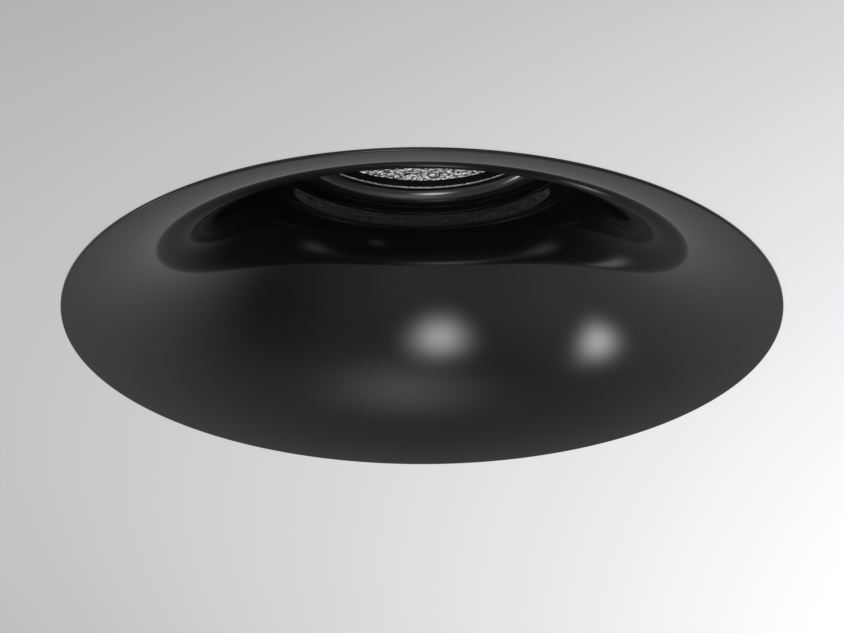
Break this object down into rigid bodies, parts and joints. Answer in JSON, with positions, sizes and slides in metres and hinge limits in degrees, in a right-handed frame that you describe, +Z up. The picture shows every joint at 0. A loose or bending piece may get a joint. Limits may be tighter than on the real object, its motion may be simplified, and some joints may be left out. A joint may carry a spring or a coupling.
{
  "type": "recessed soffit downlight",
  "caption": "Round trimless-look recessed downlight with a deep gloss black trumpet reflector ring, a swivelling and tilting LED head, spring clips and a rear terminal box.",
  "frame": {"origin": "centre of the lamp on the underside of the soffit, in the plane of the lip's back face", "axes": "+Z up into the soffit along the lamp's axis; +X to the right and towards the right-hand clip; +Y towards the terminal box, away from the viewer"},
  "size_m": [0.1932, 0.15, 0.1041],
  "materials": {
    "gloss_black_paint": "gloss black wet paint, near-mirror",
    "bezel_black": "gloss black wet paint",
    "can_steel": "satin black powder coat",
    "black_anodised": "black anodised aluminium",
    "zinc_steel": "bright zinc plated steel",
    "spring_steel": "drawn stainless spring wire",
    "black_rubber": "soft black rubber",
    "grey_plastic": "fine textured grey moulding",
    "black_plastic": "black polyamide",
    "white_plastic": "white low-friction plastic",
    "orange_plastic": "orange moulding",
    "potting_black": "potted case",
    "tinned_copper": "tinned copper alloy",
    "clear_lens": "clear acrylic with a fine prism pattern",
    "reflector_mirror": "vacuum metallised",
    "board_white": "white solder mask on aluminium",
    "phosphor": "silicone over phosphor",
    "pad_grey": "graphite filled silicone"
  },
  "bodies": {
    "mounting_ring": {"flare": "gloss_black_paint", "soffit_gasket": "black_rubber", "glide_ring": "white_plastic", "housing_can": "can_steel", "can_screws": "zinc_steel", "ring_keepers": "zinc_steel", "keeper_screws": "zinc_steel", "clip_bracket_left": "zinc_steel", "clip_bracket_right": "zinc_steel", "bracket_screws": "zinc_steel", "clip_pin_left": "zinc_steel", "clip_pin_right": "zinc_steel", "clip_spring_left": "spring_steel", "clip_spring_right": "spring_steel", "terminal_box": "grey_plastic", "box_screws": "zinc_steel", "lid_pins": "zinc_steel", "terminal_block": "white_plastic", "terminal_cages": "tinned_copper", "driver_module": "potting_black", "lead_grommet": "black_rubber", "gland_body": "black_plastic", "gland_locknut": "black_plastic", "gland_seal": "black_rubber", "gland_nut": "black_plastic"},
    "swivel": {"swivel_ring": "black_anodised", "pivot_washers": "white_plastic"},
    "lamp_head": {"bezel": "bezel_black", "pivot_screws": "zinc_steel", "lens_seal": "black_rubber", "front_lens": "clear_lens", "reflector_cup": "reflector_mirror", "led_holder": "white_plastic", "holder_screws": "zinc_steel", "led_board": "board_white", "led_emitter": "phosphor", "thermal_pad": "pad_grey", "head_body": "black_anodised", "heat_sink": "black_anodised", "sink_screws": "zinc_steel", "head_grommet": "black_rubber"},
    "clip_left": {"clip_arm_left": "zinc_steel", "clip_foot_left": "black_rubber"},
    "clip_right": {"clip_arm_right": "zinc_steel", "clip_foot_right": "black_rubber"},
    "lid": {"box_lid": "grey_plastic", "lid_seal": "black_rubber"},
    "plus_lever": {"lever_plus": "orange_plastic"},
    "minus_lever": {"lever_minus": "orange_plastic"}
  },
  "joints": [
    {"name": "head_swivel", "type": "hinge", "parent": "mounting_ring", "child": "swivel", "pos_m": [0, 0, 0.04069], "axis": [0, 0, 1], "range_deg": [-175, 175]},
    {"name": "head_tilt", "type": "hinge", "parent": "swivel", "child": "lamp_head", "pos_m": [0, 0, 0.04539], "axis": [1, 0, 0], "range_deg": [-20, 20]},
    {"name": "clip_left_swing", "type": "hinge", "parent": "mounting_ring", "child": "clip_left", "pos_m": [-0.06, 0, 0.0196], "axis": [0, 1, 0], "range_deg": [0, 105], "stiffness_Nm_per_rad": 0.15, "springref_deg": -114.59, "deforming": ["clip_spring_left"]},
    {"name": "clip_right_swing", "type": "hinge", "parent": "mounting_ring", "child": "clip_right", "pos_m": [0.06, 0, 0.0196], "axis": [0, -1, 0], "range_deg": [0, 105], "stiffness_Nm_per_rad": 0.15, "springref_deg": -114.59, "deforming": ["clip_spring_right"]},
    {"name": "box_lid_hinge", "type": "hinge", "parent": "mounting_ring", "child": "lid", "pos_m": [0, 0.06635, 0.08499], "axis": [1, 0, 0], "range_deg": [0, 90]},
    {"name": "plus_lever_hinge", "type": "hinge", "parent": "mounting_ring", "child": "plus_lever", "pos_m": [0.0045, 0.05475, 0.07439], "axis": [1, 0, 0], "range_deg": [0, 85]},
    {"name": "minus_lever_hinge", "type": "hinge", "parent": "mounting_ring", "child": "minus_lever", "pos_m": [-0.0045, 0.05475, 0.07439], "axis": [1, 0, 0], "range_deg": [0, 85]}
  ]
}
